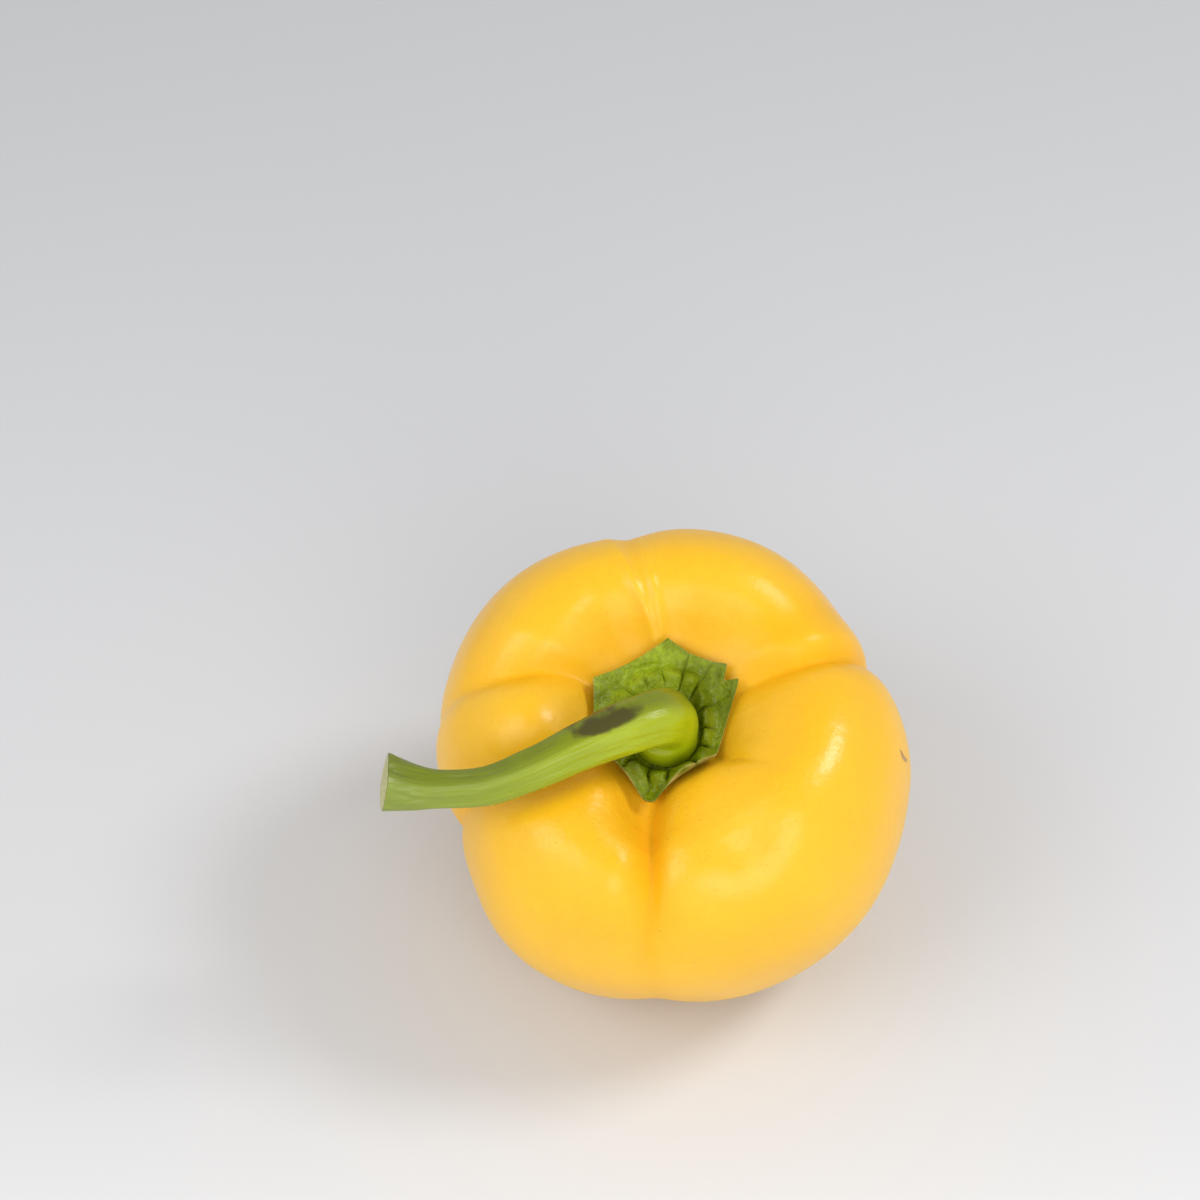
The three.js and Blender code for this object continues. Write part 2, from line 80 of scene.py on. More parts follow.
# The creases and ridges that run down the skin: headings and depths at the stations, ridges being less
# than nothing deep; width of the clockwise wall, width of the other wall; how round the bottom is
FOLD_STATIONS = (2.2, 3.2, 4.4, 5.6, 7, 9, 12)
FOLDS = [
    # the back crease, with two thin ridges beside its groove and a hollow on either side of them
    ((97, 98, 100, 101, 100, 99, 97), (0.5, 1.0, 1.4, 1.6, 2.0, 2.2, 3.0), 5.0, 5.0, 1.5),
    ((93, 93.5, 96, 98, 99, 99, 97), (0, -0.9, -1.1, -0.8, -0.2, 0, 0), 1.1, 1.1, 0.5),
    ((98, 99, 103, 105.5, 107, 107, 107), (0, -1.1, -1.4, -1.0, -0.2, 0, 0), 1.1, 1.1, 0.5),
    ((121, 122, 120, 118, 118, 118, 118), (1.0, 2.1, 1.7, 0.4, 0, 0, 0), 3.5, 3.5, 3.0),
    ((80, 80, 78, 76, 76, 76, 76), (0.4, 0.9, 0.6, 0.1, 0, 0, 0), 3.5, 3.5, 3.0),
    # the right-hand crease, the ridge beside it and the broad valley beyond
    ((25, 24.5, 22, 21, 21, 19, 15), (1.2, 3.2, 4.6, 4.6, 4.2, 3.2, 3.0), 2.6, 6.0, 0.5),
    ((44, 39, 31, 28, 27, 26, 26), (0, -0.6, -1.2, -1.2, -0.6, 0, 0), 2.6, 2.6, 1.5),
    ((64, 57, 46, 41, 39, 36, 34), (0.8, 1.8, 2.4, 2.4, 1.6, 0.5, 0.5), 6.0, 6.0, 4.0),
    # the front crease, deep at the calyx, the broad valley that it fades into, and the ridge beside it
    ((259, 261, 262.5, 264, 265.5, 267, 268), (1.6, 4.4, 5.6, 4.4, 1.2, 0.0, 1.0), 6.5, 1.5, 0.5),
    ((262, 262, 264, 265, 266, 268, 268), (0.4, 0.8, 1.2, 1.6, 2.0, 1.6, 2.0), 8.0, 7.0, 3.0),
    ((246, 250, 254, 256, 260, 264, 264), (0, 0, -0.2, -0.9, -0.9, -0.1, 0), 2.6, 2.6, 2.0),
    # the left-hand creases, either side of the small lobe, and the ridge behind the second
    ((215, 214, 210, 206, 200, 195, 195), (0.8, 2.5, 3.8, 4.4, 4.2, 3.0, 2.5), 6.0, 4.5, 1.0),
    ((152, 153, 159, 167, 171, 174, 176), (0.8, 3.0, 4.2, 3.6, 1.5, 0.9, 1.0), 6.5, 2.8, 0.9),
    ((141, 144, 149, 151, 152, 152, 152), (0, -0.8, -1.2, -0.8, 0, 0, 0), 3.0, 3.0, 2.0),
    # a short fold where the large lobe meets a corner of the calyx
    ((319, 324, 330, 330, 330, 330, 330), (1.4, 1.2, 0, 0, 0, 0, 0), 1.6, 1.6, 0.5),
]
FOLD_EASE = 0.8               # stations over which a fold's values are averaged, either way
FOLD_SAMPLES = 9

# heading, station, size across, size along, height: the shoulder's swellings and dents
SWELLINGS = [
    (185, 4.6, 8, 10, 2.7), (318, 3.4, 11, 8, 2.0), (343, 5.2, 10, 9, 1.4), (291, 3.0, 7, 6, 1.6),
    (222, 3.5, 6.5, 8, 2.4), (251, 5.9, 5.5, 9, 1.4), (250, 3.3, 4.0, 6, -1.0),
    (297, 5.5, 6.5, 6, -2.0), (248, 5.7, 2.5, 7, -0.3),
]

# distance apart, share of the height and seed of the skin's faint waves
WAVES = [(16, 1.0, 3), (7, 0.3, 4)]
WAVE_HEIGHT = 0.22
CALM_RADIUS = 12              # the waves fade out inside it


def in_hollow(across, up):
    """Radius and height inside the crest: shares of the way out from the seat and of the way up."""
    return SEAT_RADIUS + across * (CREST_RADIUS - SEAT_RADIUS), SEAT_HEIGHT + up * SEAT_DEPTH


def on_body(out, up):
    """Radius and height outside the crest: shares of the half width and of the height."""
    return out * WIDTH / 2, up * HEIGHT


PROFILE = np.array([
    (0, SEAT_HEIGHT), (SEAT_RADIUS * 0.55, SEAT_HEIGHT), in_hollow(0, 0.08), in_hollow(0.3, 0.4),
    in_hollow(0.62, 0.8), in_hollow(1, 1), on_body(0.775, 0.968), on_body(0.92, 0.868),
    on_body(1, 0.697), on_body(0.99, 0.5), on_body(0.89, 0.29), on_body(0.72, 0.118),
    on_body(0.495, 0.02), on_body(0.247, 0.053), on_body(0, 0.105),
])
LAST_STATION = len(PROFILE) - 1

# ---------------------------------------------------------------- sizes of the calyx

GAP = 0.3                     # between one piece and the next
CALYX_THICKNESS = 1.5         # under the stem
RIM_THICKNESS = 0.4
RIM_LIFT = 0.35               # of the rim off the skin
LOOSE_RIM = (292, 22, 0.9)    # heading, half angle and extra lift of a stretch that stands off the skin
CALYX_RADIUS = 15             # to the tip of a usual corner
CREASE_DRAPE = 0.35           # share of the creases' depth that the calyx follows

# heading, extra radius, bay of the edge that follows
CORNERS = [
    (29.4, -0.3, 0.06), (43, -0.4, 0.05), (90, 0.0, 0.03), (152, 0.3, 0.0), (180, -1.2, 0.0),
    (219, -1.0, 0.02), (254, 1.1, -0.01), (261, 1.1, -0.01), (317, -2.8, 0.0),
]
NOTCH = (35, 1.2, 4)          # heading, depth, half angle

# headings of the grooves round the stem's foot; fullness of the puff that follows each; how far out its
# crest is from the foot; and how much of the groove goes on over the flange, to the rim
PUFFS = [
    (2, 0.8, 1.3, 0.2), (27, 0.9, 2.6, 0.6), (50, 0.8, 3.4, 0.8), (70, 0.6, 3.2, 1.1),
    (92, 0.45, 3.0, 0.1), (112, 0.45, 2.8, 0.1), (132, 0.6, 2.6, 1.0), (160, 0.5, 2.2, 0.2),
    (185, 0.6, 2.0, 0.2), (205, 0.8, 2.0, 0.2), (224, 1.0, 2.1, 0.2), (252, 1.0, 2.2, 0.7),
    (273, 1.0, 2.0, 0.2), (310, 1.0, 1.8, 0.2), (340, 0.9, 1.3, 0.2),
]
COLLAR_HEIGHT = 3.2           # of a full puff
COLLAR_LEAST = 0.15           # share of that height where a puff is not full at all
GROOVE_DEPTH = 0.95           # of the grooves between the puffs, as a share of that height
COLLAR_INNER = (0.8, 0.25)    # half width towards the stem, and how much it grows with the crest
COLLAR_OUTER = 1.7            # half width towards the flange
FLANGE_EASE = 2.5             # how far beyond the crest the flange begins
FLANGE_RISE = 0.3
FLANGE_GROOVE = 0.9           # depth of the grooves that go on over the flange
FLANGE_FOLD = (102, 28, 5.4, 0.5, 0.6)     # heading, half angle, distance from the foot, depth, width
GROOVE_WANDER = (5, 3.5, 13)  # degrees, distance apart and seed of the grooves' wandering

# distance apart, height and seed of the crinkles of the flange
CRINKLES = [(1.0, 0.12, 11), (2.6, 0.5, 12)]

# ---------------------------------------------------------------- sizes of the stem

FOOT_RADIUS = 6.4
FOOT_STRETCH = 0.8            # how much longer the foot is from back to front
FOOT_X = -0.9
FOOT_Y = -2.5
STALK_RADIUS = 3.4
END_RADIUS = 4.6
SPUR = 1.7                    # how far the cut end is drawn out on its back side
RIB_COUNT = 5
RIB_DEPTH = 0.22
DOME = 0.7                    # of the cut face
TURN_SPREAD = 0.8             # how far along the course a section looks for its direction
BEND = 3.5                    # the place of the bend along the course
BEND_LENGTH = 1.2
RELAX_ROUNDS = 400
FOOT_HEIGHT = SEAT_HEIGHT + GAP + CALYX_THICKNESS + GAP
FLAT_RADIUS = FOOT_RADIUS + 0.5            # of the calyx's level patch under the foot

# distance apart, depth and seed of the furrows that run along the stem, and of its uneven roundness
FURROWS = (0.9, 0.16, 21)
UNEVENNESS = (3, 0.1, 22)

# x, y, height, radius
STEM = np.array([
    (FOOT_X, FOOT_Y, FOOT_HEIGHT, FOOT_RADIUS),
    (FOOT_X, FOOT_Y, FOOT_HEIGHT + 2.0, FOOT_RADIUS - 0.2),
    (FOOT_X + 0.1, FOOT_Y, FOOT_HEIGHT + 4.0, FOOT_RADIUS - 0.3),
    (FOOT_X - 0.4, FOOT_Y - 0.2, FOOT_HEIGHT + 6.2, FOOT_RADIUS - 0.6),
    (-3.4, -4.1, HEIGHT + 3.2, STALK_RADIUS + 1.9),
    (-9.0, -6.8, HEIGHT + 5.4, STALK_RADIUS + 1.4),
    (-16.5, -10.4, HEIGHT + 6.2, STALK_RADIUS + 0.8),
    (-24.5, -14.2, HEIGHT + 5.6, STALK_RADIUS + 0.3),
    (-33.0, -16.6, HEIGHT + 3.4, STALK_RADIUS),
    (-41.3, -16.4, HEIGHT + 1.1, STALK_RADIUS),
    (-47.4, -16.1, HEIGHT + 0.5, (STALK_RADIUS + END_RADIUS) / 2),
    (-51.5, -15.9, HEIGHT + 1.2, END_RADIUS),
])
ACROSS_STEM = np.array([0.35, -0.94, 0.0])

# ---------------------------------------------------------------- curves and fields


def through(points, place):
    """A smooth curve through rows of numbers, at places counted in rows."""
    last = len(points) - 1
    first = np.clip(np.floor(place).astype(int), 0, last - 1)
    t = (place - first)[..., None]
    a, b, c, d = (points[np.clip(first + step, 0, last)] for step in (-1, 0, 1, 2))
    leave = (c - a) / 2
    arrive = (d - b) / 2
    cubic = 2 * b - 2 * c + leave + arrive
    square = -3 * b + 3 * c - 2 * leave - arrive
    return ((cubic * t + square) * t + leave) * t + b


def turn_from(start, heading):
    """The turn in degrees from one heading to another, between -180 and 180."""
    return np.mod(heading - start + 180, 360) - 180


def bell(distance, half_width):
    return np.exp(-((distance / half_width) ** 2))


def ease(value, low, high):
    t = np.clip((value - low) / (high - low), 0, 1)
    return t * t * (3 - 2 * t)


def with_following(rows):
    """Each row with the one after it, round and round."""
    return zip(rows, rows[1:] + rows[:1])


def of_lobes(column, heading):
    """One column of the lobes at a heading, eased from lobe to lobe."""
    total = np.zeros_like(heading)
    for lobe, following in with_following(LOBES):
        span = (following[0] - lobe[0]) % 360
        turned = np.mod(heading - lobe[0], 360)
        share = (1 - np.cos(np.pi * turned / span)) / 2
        eased = lobe[column] + (following[column] - lobe[column]) * share
        total = np.where(turned < span, eased, total)
    return total


def hills(points, apart, seed):
    """Smooth random heights from -1 to 1 in space, with hills about that far apart."""
    size = 32
    table = np.random.default_rng(seed).uniform(-1, 1, (size, size, size))
    cell = np.floor(points / apart).astype(int)
    share = points / apart - cell
    share = share * share * (3 - 2 * share)
    total = np.zeros(points.shape[:-1])
    for corner in np.ndindex(2, 2, 2):
        weight = np.prod(np.where(corner, share, 1 - share), axis=-1)
        i, j, k = (np.mod(cell[..., n] + corner[n], size) for n in range(3))
        total += weight * table[i, j, k]
    return total


# ---------------------------------------------------------------- the fruit's skin


def body_at(heading, station):
    """Radius and height of the lobed body without its creases."""
    radius, height = np.moveaxis(through(PROFILE, station), -1, 0)
    on_side = bell(station - LOBE_SIDE[0], LOBE_SIDE[1])
    on_crest = bell(station - LOBE_CREST[0], LOBE_CREST[1])
    on_tip = 1 / (1 + np.exp((LOBE_TIP[0] - station) / LOBE_TIP[1]))
    wide = radius + of_lobes(1, heading) * on_side
    high = height + of_lobes(2, heading) * on_crest
    return wide, high + of_lobes(3, heading) * on_tip * np.clip(wide / TIP_RADIUS, 0, 1)


def along_fold(values, station, at_seat):
    """A fold's heading or depth at a station, eased from one given value to the next."""
    stations = (0, *FOLD_STATIONS, LAST_STATION)
    values = (at_seat, *values, at_seat if at_seat == 0 else values[-1])
    shifts = np.linspace(-FOLD_EASE, FOLD_EASE, FOLD_SAMPLES)
    return sum(np.interp(station + shift, stations, values) for shift in shifts) / FOLD_SAMPLES


def fold_depth(heading, station, arm):
    """How deep the skin's creases are, less the height of its ridges."""
    total = np.zeros_like(heading)
    for headings, depths, clockwise_width, other_width, roundness in FOLDS:
        middle = along_fold(headings, station, headings[0])
        depth = along_fold(depths, station, 0)
        across = np.radians(turn_from(middle, heading)) * arm
        width = np.where(across < 0, clockwise_width, other_width)
        total += depth * np.exp((roundness - np.hypot(across, roundness)) / width)
    return total


def swelling(heading, station, arm):
    total = np.zeros_like(heading)
    for middle, place, across, along, height in SWELLINGS:
        aside = np.radians(turn_from(middle, heading)) * arm
        total += height * bell(aside, across) * bell((station - place) * STATION_LENGTH, along)
    return total


def skin_at(heading, station, crease_share=1.0, wave_height=0.0):
    """Points of the skin, and how far each lies in a crease."""
    heading, station = np.broadcast_arrays(np.asarray(heading, float), np.asarray(station, float))
    step = 0.02
    radius, height = body_at(heading, station)
    before = body_at(heading, np.clip(station - step, 0, LAST_STATION))
    after = body_at(heading, np.clip(station + step, 0, LAST_STATION))
    run = np.stack([after[0] - before[0], after[1] - before[1]])
    run /= np.hypot(*run)
    arm = np.maximum(radius, 1)
    depth = crease_share * fold_depth(heading, station, arm)
    relief = swelling(heading, station, arm) - depth
    angle = np.radians(heading)
    if wave_height:
        plain = np.stack([radius * np.cos(angle), radius * np.sin(angle), height], -1)
        waves = sum(share * hills(plain, apart, seed) for apart, share, seed in WAVES)
        relief += wave_height * waves * np.clip(radius / CALM_RADIUS, 0, 1)
    reach = np.maximum(radius - run[1] * relief, 0)
    points = [reach * np.cos(angle), reach * np.sin(angle), height + run[0] * relief]
    return np.stack(points, -1), depth


def station_of(radius):
    """The station inside the crest at which the profile has a radius, found by halving."""
    low = np.zeros_like(radius)
    high = np.full_like(radius, CREST_STATION)
    for _ in range(30):
        middle = (low + high) / 2
        below = through(PROFILE, middle)[..., 0] < radius
        low = np.where(below, middle, low)
        high = np.where(below, high, middle)
    return (low + high) / 2


# ---------------------------------------------------------------- setting down

lean = math.radians(LEAN)
LEAN_TURN = np.array([
    [1, 0, 0],
    [0, math.cos(lean), -math.sin(lean)],
    [0, math.sin(lean), math.cos(lean)],
])


def find_rest_place():
    """How far the leaned fruit is moved, in metres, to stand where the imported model's fruit stands."""
    heading, station = np.meshgrid(np.linspace(0, 360, 181), np.linspace(0, LAST_STATION, 141))
    leaned = skin_at(heading, station)[0] @ LEAN_TURN.T * METRES
    low, high = leaned.min((0, 1)), leaned.max((0, 1))
    cad_low, cad_high = (np.array(corner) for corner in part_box("fruit"))
    move = (cad_low + cad_high - low - high) / 2
    move[2] = -low[2] - FLAT_DEPTH * METRES
    return move


REST_PLACE = find_rest_place()


def set_down(points):
    return np.asarray(points, float) @ LEAN_TURN.T * METRES + REST_PLACE


# ---------------------------------------------------------------- meshes


def make_mesh(name, rings, material, fields):
    """A closed mesh of rings, the first and last being points, with a value per corner for each field."""
    rows, columns = rings.shape[:2]
    corners = np.concatenate([rings[:1, 0], rings[1:-1].reshape(-1, 3), rings[-1:, 0]])
    first = 1 + np.arange(rows - 2)[:, None] * columns + np.arange(columns)
    following = np.roll(first, -1, axis=1)
    last = len(corners) - 1
    faces = [(0, a, b) for a, b in zip(first[0].tolist(), following[0].tolist())]
    quads = np.stack([first[:-1], first[1:], following[1:], following[:-1]], -1).reshape(-1, 4)
    faces += quads.tolist()
    faces += [(last, b, a) for a, b in zip(first[-1].tolist(), following[-1].tolist())]
    mesh = bpy.data.meshes.new(name)
    mesh.from_pydata(corners.tolist(), [], faces)
    mesh.polygons.foreach_set("use_smooth", [True] * len(mesh.polygons))
    for label, values in fields.items():
        values = np.concatenate([values[:1, 0], values[1:-1].ravel(), values[-1:, 0]])
        attribute = mesh.attributes.new(label, "FLOAT", "POINT")
        attribute.data.foreach_set("value", values.astype(np.float32))
    mesh.materials.append(material)
    piece = bpy.data.objects.new(name, mesh)
    bpy.context.scene.collection.objects.link(piece)
    return piece


def hand_over(piece, node):
    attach(piece, "root")
    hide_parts(node)


# ---------------------------------------------------------------- the fruit

FRUIT_COLUMNS = 320
FRUIT_ROWS = 280
SOFT_EDGE = 0.25 * METRES     # how softly the flattened tips turn up from the ground
FULL_HOLLOW = 5               # depth of a crease whose painted shade is full


def make_fruit(material):
    heading, station = np.meshgrid(
        np.linspace(0, 360, FRUIT_COLUMNS, endpoint=False), np.linspace(0, LAST_STATION, FRUIT_ROWS))
    points, depth = skin_at(heading, station, wave_height=WAVE_HEIGHT)
    rings = set_down(points)
    height = rings[..., 2]
    rings[..., 2] = (height + np.hypot(height, SOFT_EDGE)) / 2
    fruit = make_mesh("pepper_fruit", rings, material, {"hollow": depth / FULL_HOLLOW})
    hand_over(fruit, "fruit")


# ---------------------------------------------------------------- the calyx

CALYX_COLUMNS = 420
CALYX_TOP_ROWS = 90
CALYX_UNDER_ROWS = 24
LIT_AND_PALE_SIDE = (118, 50, 0.8)    # heading, half angle and paleness of the calyx's paler side, partly its own tone and partly painted light


def rim_at(heading):
    """Radius of the calyx's rim: straight from corner to corner, but for the bays and one notch."""
    rim = np.zeros_like(heading)
    for corner, following in with_following(CORNERS):
        start, stop = CALYX_RADIUS + corner[1], CALYX_RADIUS + following[1]
        span = (following[0] - corner[0]) % 360
        turned = np.mod(heading - corner[0], 360)
        share = turned / span
        to_stop = start * np.sin(np.radians(turned)) + stop * np.sin(np.radians(span - turned))
        chord = start * stop * math.sin(math.radians(span)) / np.where(turned < span, to_stop, 1)
        bay = 1 - corner[2] * 4 * share * (1 - share)
        rim = np.where(turned < span, chord * bay, rim)
    return rim - NOTCH[1] * bell(turn_from(NOTCH[0], heading), NOTCH[2])


def puff_at(heading):
    """Round the stem's foot: how full the puffs are, how deep the grooves between them, the radius of
    their crest, and how much of a groove goes on over the flange."""
    starts = [puff[0] for puff in PUFFS]
    middles = [
        puff[0] + ((following[0] - puff[0]) % 360) / 2 for puff, following in with_following(PUFFS)]
    full = np.interp(heading, middles, [puff[1] for puff in PUFFS], period=360)
    crest = np.interp(heading, middles, [puff[2] for puff in PUFFS], period=360)
    goes_on = np.interp(heading, starts, [puff[3] for puff in PUFFS], period=360)
    groove = np.zeros_like(heading)
    for puff, following in with_following(PUFFS):
        span = (following[0] - puff[0]) % 360
        turned = np.mod(heading - puff[0], 360)
        across = 2 * turned / span - 1
        valley = full * (1 - np.maximum(0, 1 - across ** 2) ** 0.5)
        groove = np.where(turned < span, valley, groove)
    return full, groove, FOOT_RADIUS + crest, goes_on


def calyx_at(heading, share, on_top):
    """Points of one side of the calyx at shares of the way to the rim, and the depth of its grooves."""
    rim = rim_at(heading)
    radius = share * rim
    points, _ = skin_at(heading, station_of(radius), CREASE_DRAPE)
    middle, half_angle, extra = LOOSE_RIM
    lifted = RIM_LIFT + extra * bell(turn_from(middle, heading), half_angle)
    points[..., 2] += GAP + lifted * ease(share, 0.7, 1)
    ahead = points[..., 0] - FOOT_X
    aside = (points[..., 1] - FOOT_Y) * FOOT_RADIUS / (FOOT_RADIUS + FOOT_STRETCH)
    from_foot = np.hypot(ahead, aside)
    round_foot = np.degrees(np.arctan2(aside, ahead))
    turn, apart, seed = GROOVE_WANDER
    full, groove, crest, goes_on = puff_at(round_foot + turn * hills(points, apart, seed))
    flange = ease(from_foot, crest, crest + FLANGE_EASE)
    groove = groove * (1 - flange * (1 - goes_on))
    if on_top:
        near, growth = COLLAR_INNER
        side = np.where(from_foot < crest, near + growth * (crest - FOOT_RADIUS), COLLAR_OUTER)
        puff = COLLAR_LEAST + (1 - COLLAR_LEAST) * full - GROOVE_DEPTH * groove
        collar = COLLAR_HEIGHT * puff * bell(from_foot - crest, side)
        middle, half_angle, place, depth, width = FLANGE_FOLD
        fold = depth * bell(turn_from(middle, round_foot), half_angle)
        fold = fold * bell(from_foot - FOOT_RADIUS - place, width)
        by_rim = 1 - 0.6 * ease(share, 0.85, 1)
        ripple = FLANGE_RISE - (FLANGE_GROOVE * groove * flange + fold) * by_rim
        crinkle = sum(height * hills(points, apart, seed) for apart, height, seed in CRINKLES)
        outward = np.clip((radius - FLAT_RADIUS) / (rim - FLAT_RADIUS), 0, 1)
        thickness = CALYX_THICKNESS + (RIM_THICKNESS - CALYX_THICKNESS) * outward
        free = points[..., 2] + thickness + collar + ripple
        free += crinkle * ease(from_foot, FLAT_RADIUS, crest) * (1 - 0.7 * ease(share, 0.9, 1))
        level = SEAT_HEIGHT + GAP + CALYX_THICKNESS
        on_flat = 1 - ease(from_foot, FLAT_RADIUS - 0.2, FLAT_RADIUS + 0.6)
        points[..., 2] = level * on_flat + free * (1 - on_flat)
    return points, groove


def make_calyx(material):
    columns = np.linspace(0, 360, CALYX_COLUMNS, endpoint=False)
    heading, share = np.meshgrid(columns, np.linspace(0, 1, CALYX_TOP_ROWS))
    top, groove = calyx_at(heading, share, True)
    under_heading, under_share = np.meshgrid(columns, np.linspace(1, 0, CALYX_UNDER_ROWS))
    under, under_groove = calyx_at(under_heading, under_share, False)
    middle, half_angle, paleness = LIT_AND_PALE_SIDE
    round_axis = np.concatenate([heading, under_heading])
    fields = {
        "groove": np.concatenate([groove, under_groove]),
        "outward": np.concatenate([share, under_share]),
        # the pale field is partly the leaf's own paler tone and partly painted light
        "pale": paleness * bell(turn_from(middle, round_axis), half_angle),
    }
    calyx = make_mesh("pepper_calyx", set_down(np.concatenate([top, under])), material, fields)
    hand_over(calyx, "calyx")


# ---------------------------------------------------------------- the stem

STEM_COLUMNS = 144
STEM_ROWS = 400
CUT_ROWS = 14
UPPER_BACK = math.radians(223)    # the angle round the section of the side turned up and back


def stem_at(angle, place, share):
    """Points of the stem: angle round the section, place along the course, share of the radius."""
    last = len(STEM) - 1
    course = through(STEM, place)
    ahead = through(STEM, np.clip(place + TURN_SPREAD, 0, last))
    along = ahead - through(STEM, np.clip(place - TURN_SPREAD, 0, last))
    along = along[..., :3] / np.linalg.norm(along[..., :3], axis=-1, keepdims=True)
    side = ACROSS_STEM - along * (along @ ACROSS_STEM)[..., None]
    side /= np.linalg.norm(side, axis=-1, keepdims=True)
    other = np.cross(side, along)
    flare = ease(place, last - 2.2, last)
    pointed = SPUR * flare * np.maximum(0, -np.cos(angle)) ** 3
    ribs = RIB_DEPTH * np.cos(RIB_COUNT * angle) * ease(place, 0.5, 4)
    grain = np.stack([np.cos(angle) * 6, np.sin(angle) * 6, place * 1.5], -1)
    apart, depth, seed = FURROWS
    furrows = depth * hills(grain, apart, seed) * ease(place, 1, 5)
    apart, depth, seed = UNEVENNESS
    furrows = furrows + depth * hills(grain, apart, seed)
    stretch = FOOT_STRETCH * np.cos(angle) ** 2 * (1 - ease(place, 0.5, 3.2))
    reach = share * (course[..., 3] + ribs + furrows + pointed + stretch)
    points = course[..., :3] + side * (reach * np.cos(angle))[..., None]
    points += other * (reach * np.sin(angle))[..., None]
    bulge = np.where(place >= last, DOME * (1 - share ** 2), 0)
    return points + along * bulge[..., None]


def relaxed(rings, angle, place):
    """The stem's rings with the inner side of the bend drawn smooth, so that no ring crosses another."""
    weight = (ease(np.sin(angle), -0.3, 0.6) * bell(place - BEND, BEND_LENGTH))[..., None]
    near = np.flatnonzero(np.abs(place[:, 0] - BEND) < 2.5 * BEND_LENGTH)
    low, high = near[0], near[-1] + 1
    rings, weight = rings.copy(), weight[low:high]
    for _ in range(RELAX_ROUNDS):
        inner = rings[low:high]
        before, after = rings[low - 1:high - 1], rings[low + 1:high + 1]
        mean = (before + after + np.roll(inner, 1, 1) + np.roll(inner, -1, 1)) / 4
        rings[low:high] = inner + weight * (mean - inner)
    return rings


def make_stem(material):
    last = len(STEM) - 1
    places = np.concatenate([[0, 0], np.linspace(0, last, STEM_ROWS)[1:], np.full(CUT_ROWS, last)])
    shares = np.concatenate([[0], np.ones(STEM_ROWS), np.linspace(1, 0, CUT_ROWS + 1)[1:]])
    angle, place = np.meshgrid(np.linspace(0, 2 * math.pi, STEM_COLUMNS, endpoint=False), places)
    share = np.broadcast_to(shares[:, None], place.shape)
    points = relaxed(stem_at(angle, place, share), angle, place)
    fields = {
        "along": place / last,
        "cut": np.where(place >= last, np.clip((1 - share) * 6, 0, 1), 0.0),
        "around": np.cos(angle),
        "upward": np.cos(angle - UPPER_BACK),
    }
    stem = make_mesh("pepper_stem", set_down(points)[:, ::-1], material,
                     {label: values[:, ::-1] for label, values in fields.items()})
    hand_over(stem, "stem")


# ---------------------------------------------------------------- nodes


def add_node(tree, kind, inputs=None, **settings):
    """A node with its settings, whose inputs are numbers or other nodes' outputs."""
    node = tree.nodes.new(kind)
    for name, value in settings.items():
        setattr(node, name, value)
    for key, value in (inputs or {}).items():
        if isinstance(value, bpy.types.NodeSocket):
            tree.links.new(value, node.inputs[key])
        else:
            node.inputs[key].default_value = value
    return node


def math_node(tree, operation, first, second):
    return add_node(tree, "ShaderNodeMath", {0: first, 1: second}, operation=operation).outputs[0]


def times(tree, first, second):
    return math_node(tree, "MULTIPLY", first, second)


def plus(tree, first, second):
    return math_node(tree, "ADD", first, second)


def map_range(tree, value, low, high, to_low=0.0, to_high=1.0, how="SMOOTHSTEP"):
    inputs = {"Value": value, "From Min": low, "From Max": high, "To Min": to_low, "To Max": to_high}
    return add_node(tree, "ShaderNodeMapRange", inputs, interpolation_type=how).outputs[0]


def evenly(tree, value, low, high, to_low, to_high):
    """The range mapped in a straight line."""
    return map_range(tree, value, low, high, to_low, to_high, "LINEAR")


def mix_colours(tree, factor, first, second):
    inputs = {0: factor, 6: first, 7: second}
    return add_node(tree, "ShaderNodeMix", inputs, data_type="RGBA").outputs[2]


def place_of(tree):
    return add_node(tree, "ShaderNodeTexCoord").outputs["Object"]


def field(tree, label):
    return add_node(tree, "ShaderNodeAttribute", attribute_name=label).outputs["Fac"]


def add_group(tree, group, inputs):
    return add_node(tree, "ShaderNodeGroup", inputs, node_tree=group).outputs


def new_group(name, inputs, outputs):
    group = bpy.data.node_groups.new(name, "ShaderNodeTree")
    for label, kind, default in inputs:
        socket = group.interface.new_socket(label, in_out="INPUT", socket_type=kind)
        socket.default_value = default
    for label, kind in outputs:
        group.interface.new_socket(label, in_out="OUTPUT", socket_type=kind)
    given = group.nodes.new("NodeGroupInput").outputs
    return group, given, group.nodes.new("NodeGroupOutput").inputs


def make_mottle():
    """Soft, cloudy patches."""
    group, given, out = new_group(
        "soft mottle",
        [("Patches per metre", "NodeSocketFloat", 100.0), ("Detail", "NodeSocketFloat", 2.0)],
        [("Value", "NodeSocketFloat")])
    noise = add_node(group, "ShaderNodeTexNoise", {
        "Vector": place_of(group), "Scale": given["Patches per metre"], "Detail": given["Detail"]})
    group.links.new(map_range(group, noise.outputs["Fac"], 0.3, 0.7), out["Value"])
    return group


def make_dots():
    """Scattered round dots, such as pores: only a share of the cells holds one."""
    group, given, out = new_group(
        "scattered dots",
        [("Dots per metre", "NodeSocketFloat", 500.0), ("Size", "NodeSocketFloat", 0.2),
         ("Share", "NodeSocketFloat", 0.5)],
        [("Mask", "NodeSocketFloat")])
    cells = add_node(group, "ShaderNodeTexVoronoi", {
        "Vector": place_of(group), "Scale": given["Dots per metre"]})
    dot = map_range(group, cells.outputs["Distance"], given["Size"], times(group, given["Size"], 0.5))
    draw = add_node(group, "ShaderNodeSeparateColor", {"Color": cells.outputs["Color"]}).outputs[0]
    chosen = math_node(group, "LESS_THAN", draw, given["Share"])
    group.links.new(times(group, dot, chosen), out["Mask"])
    return group


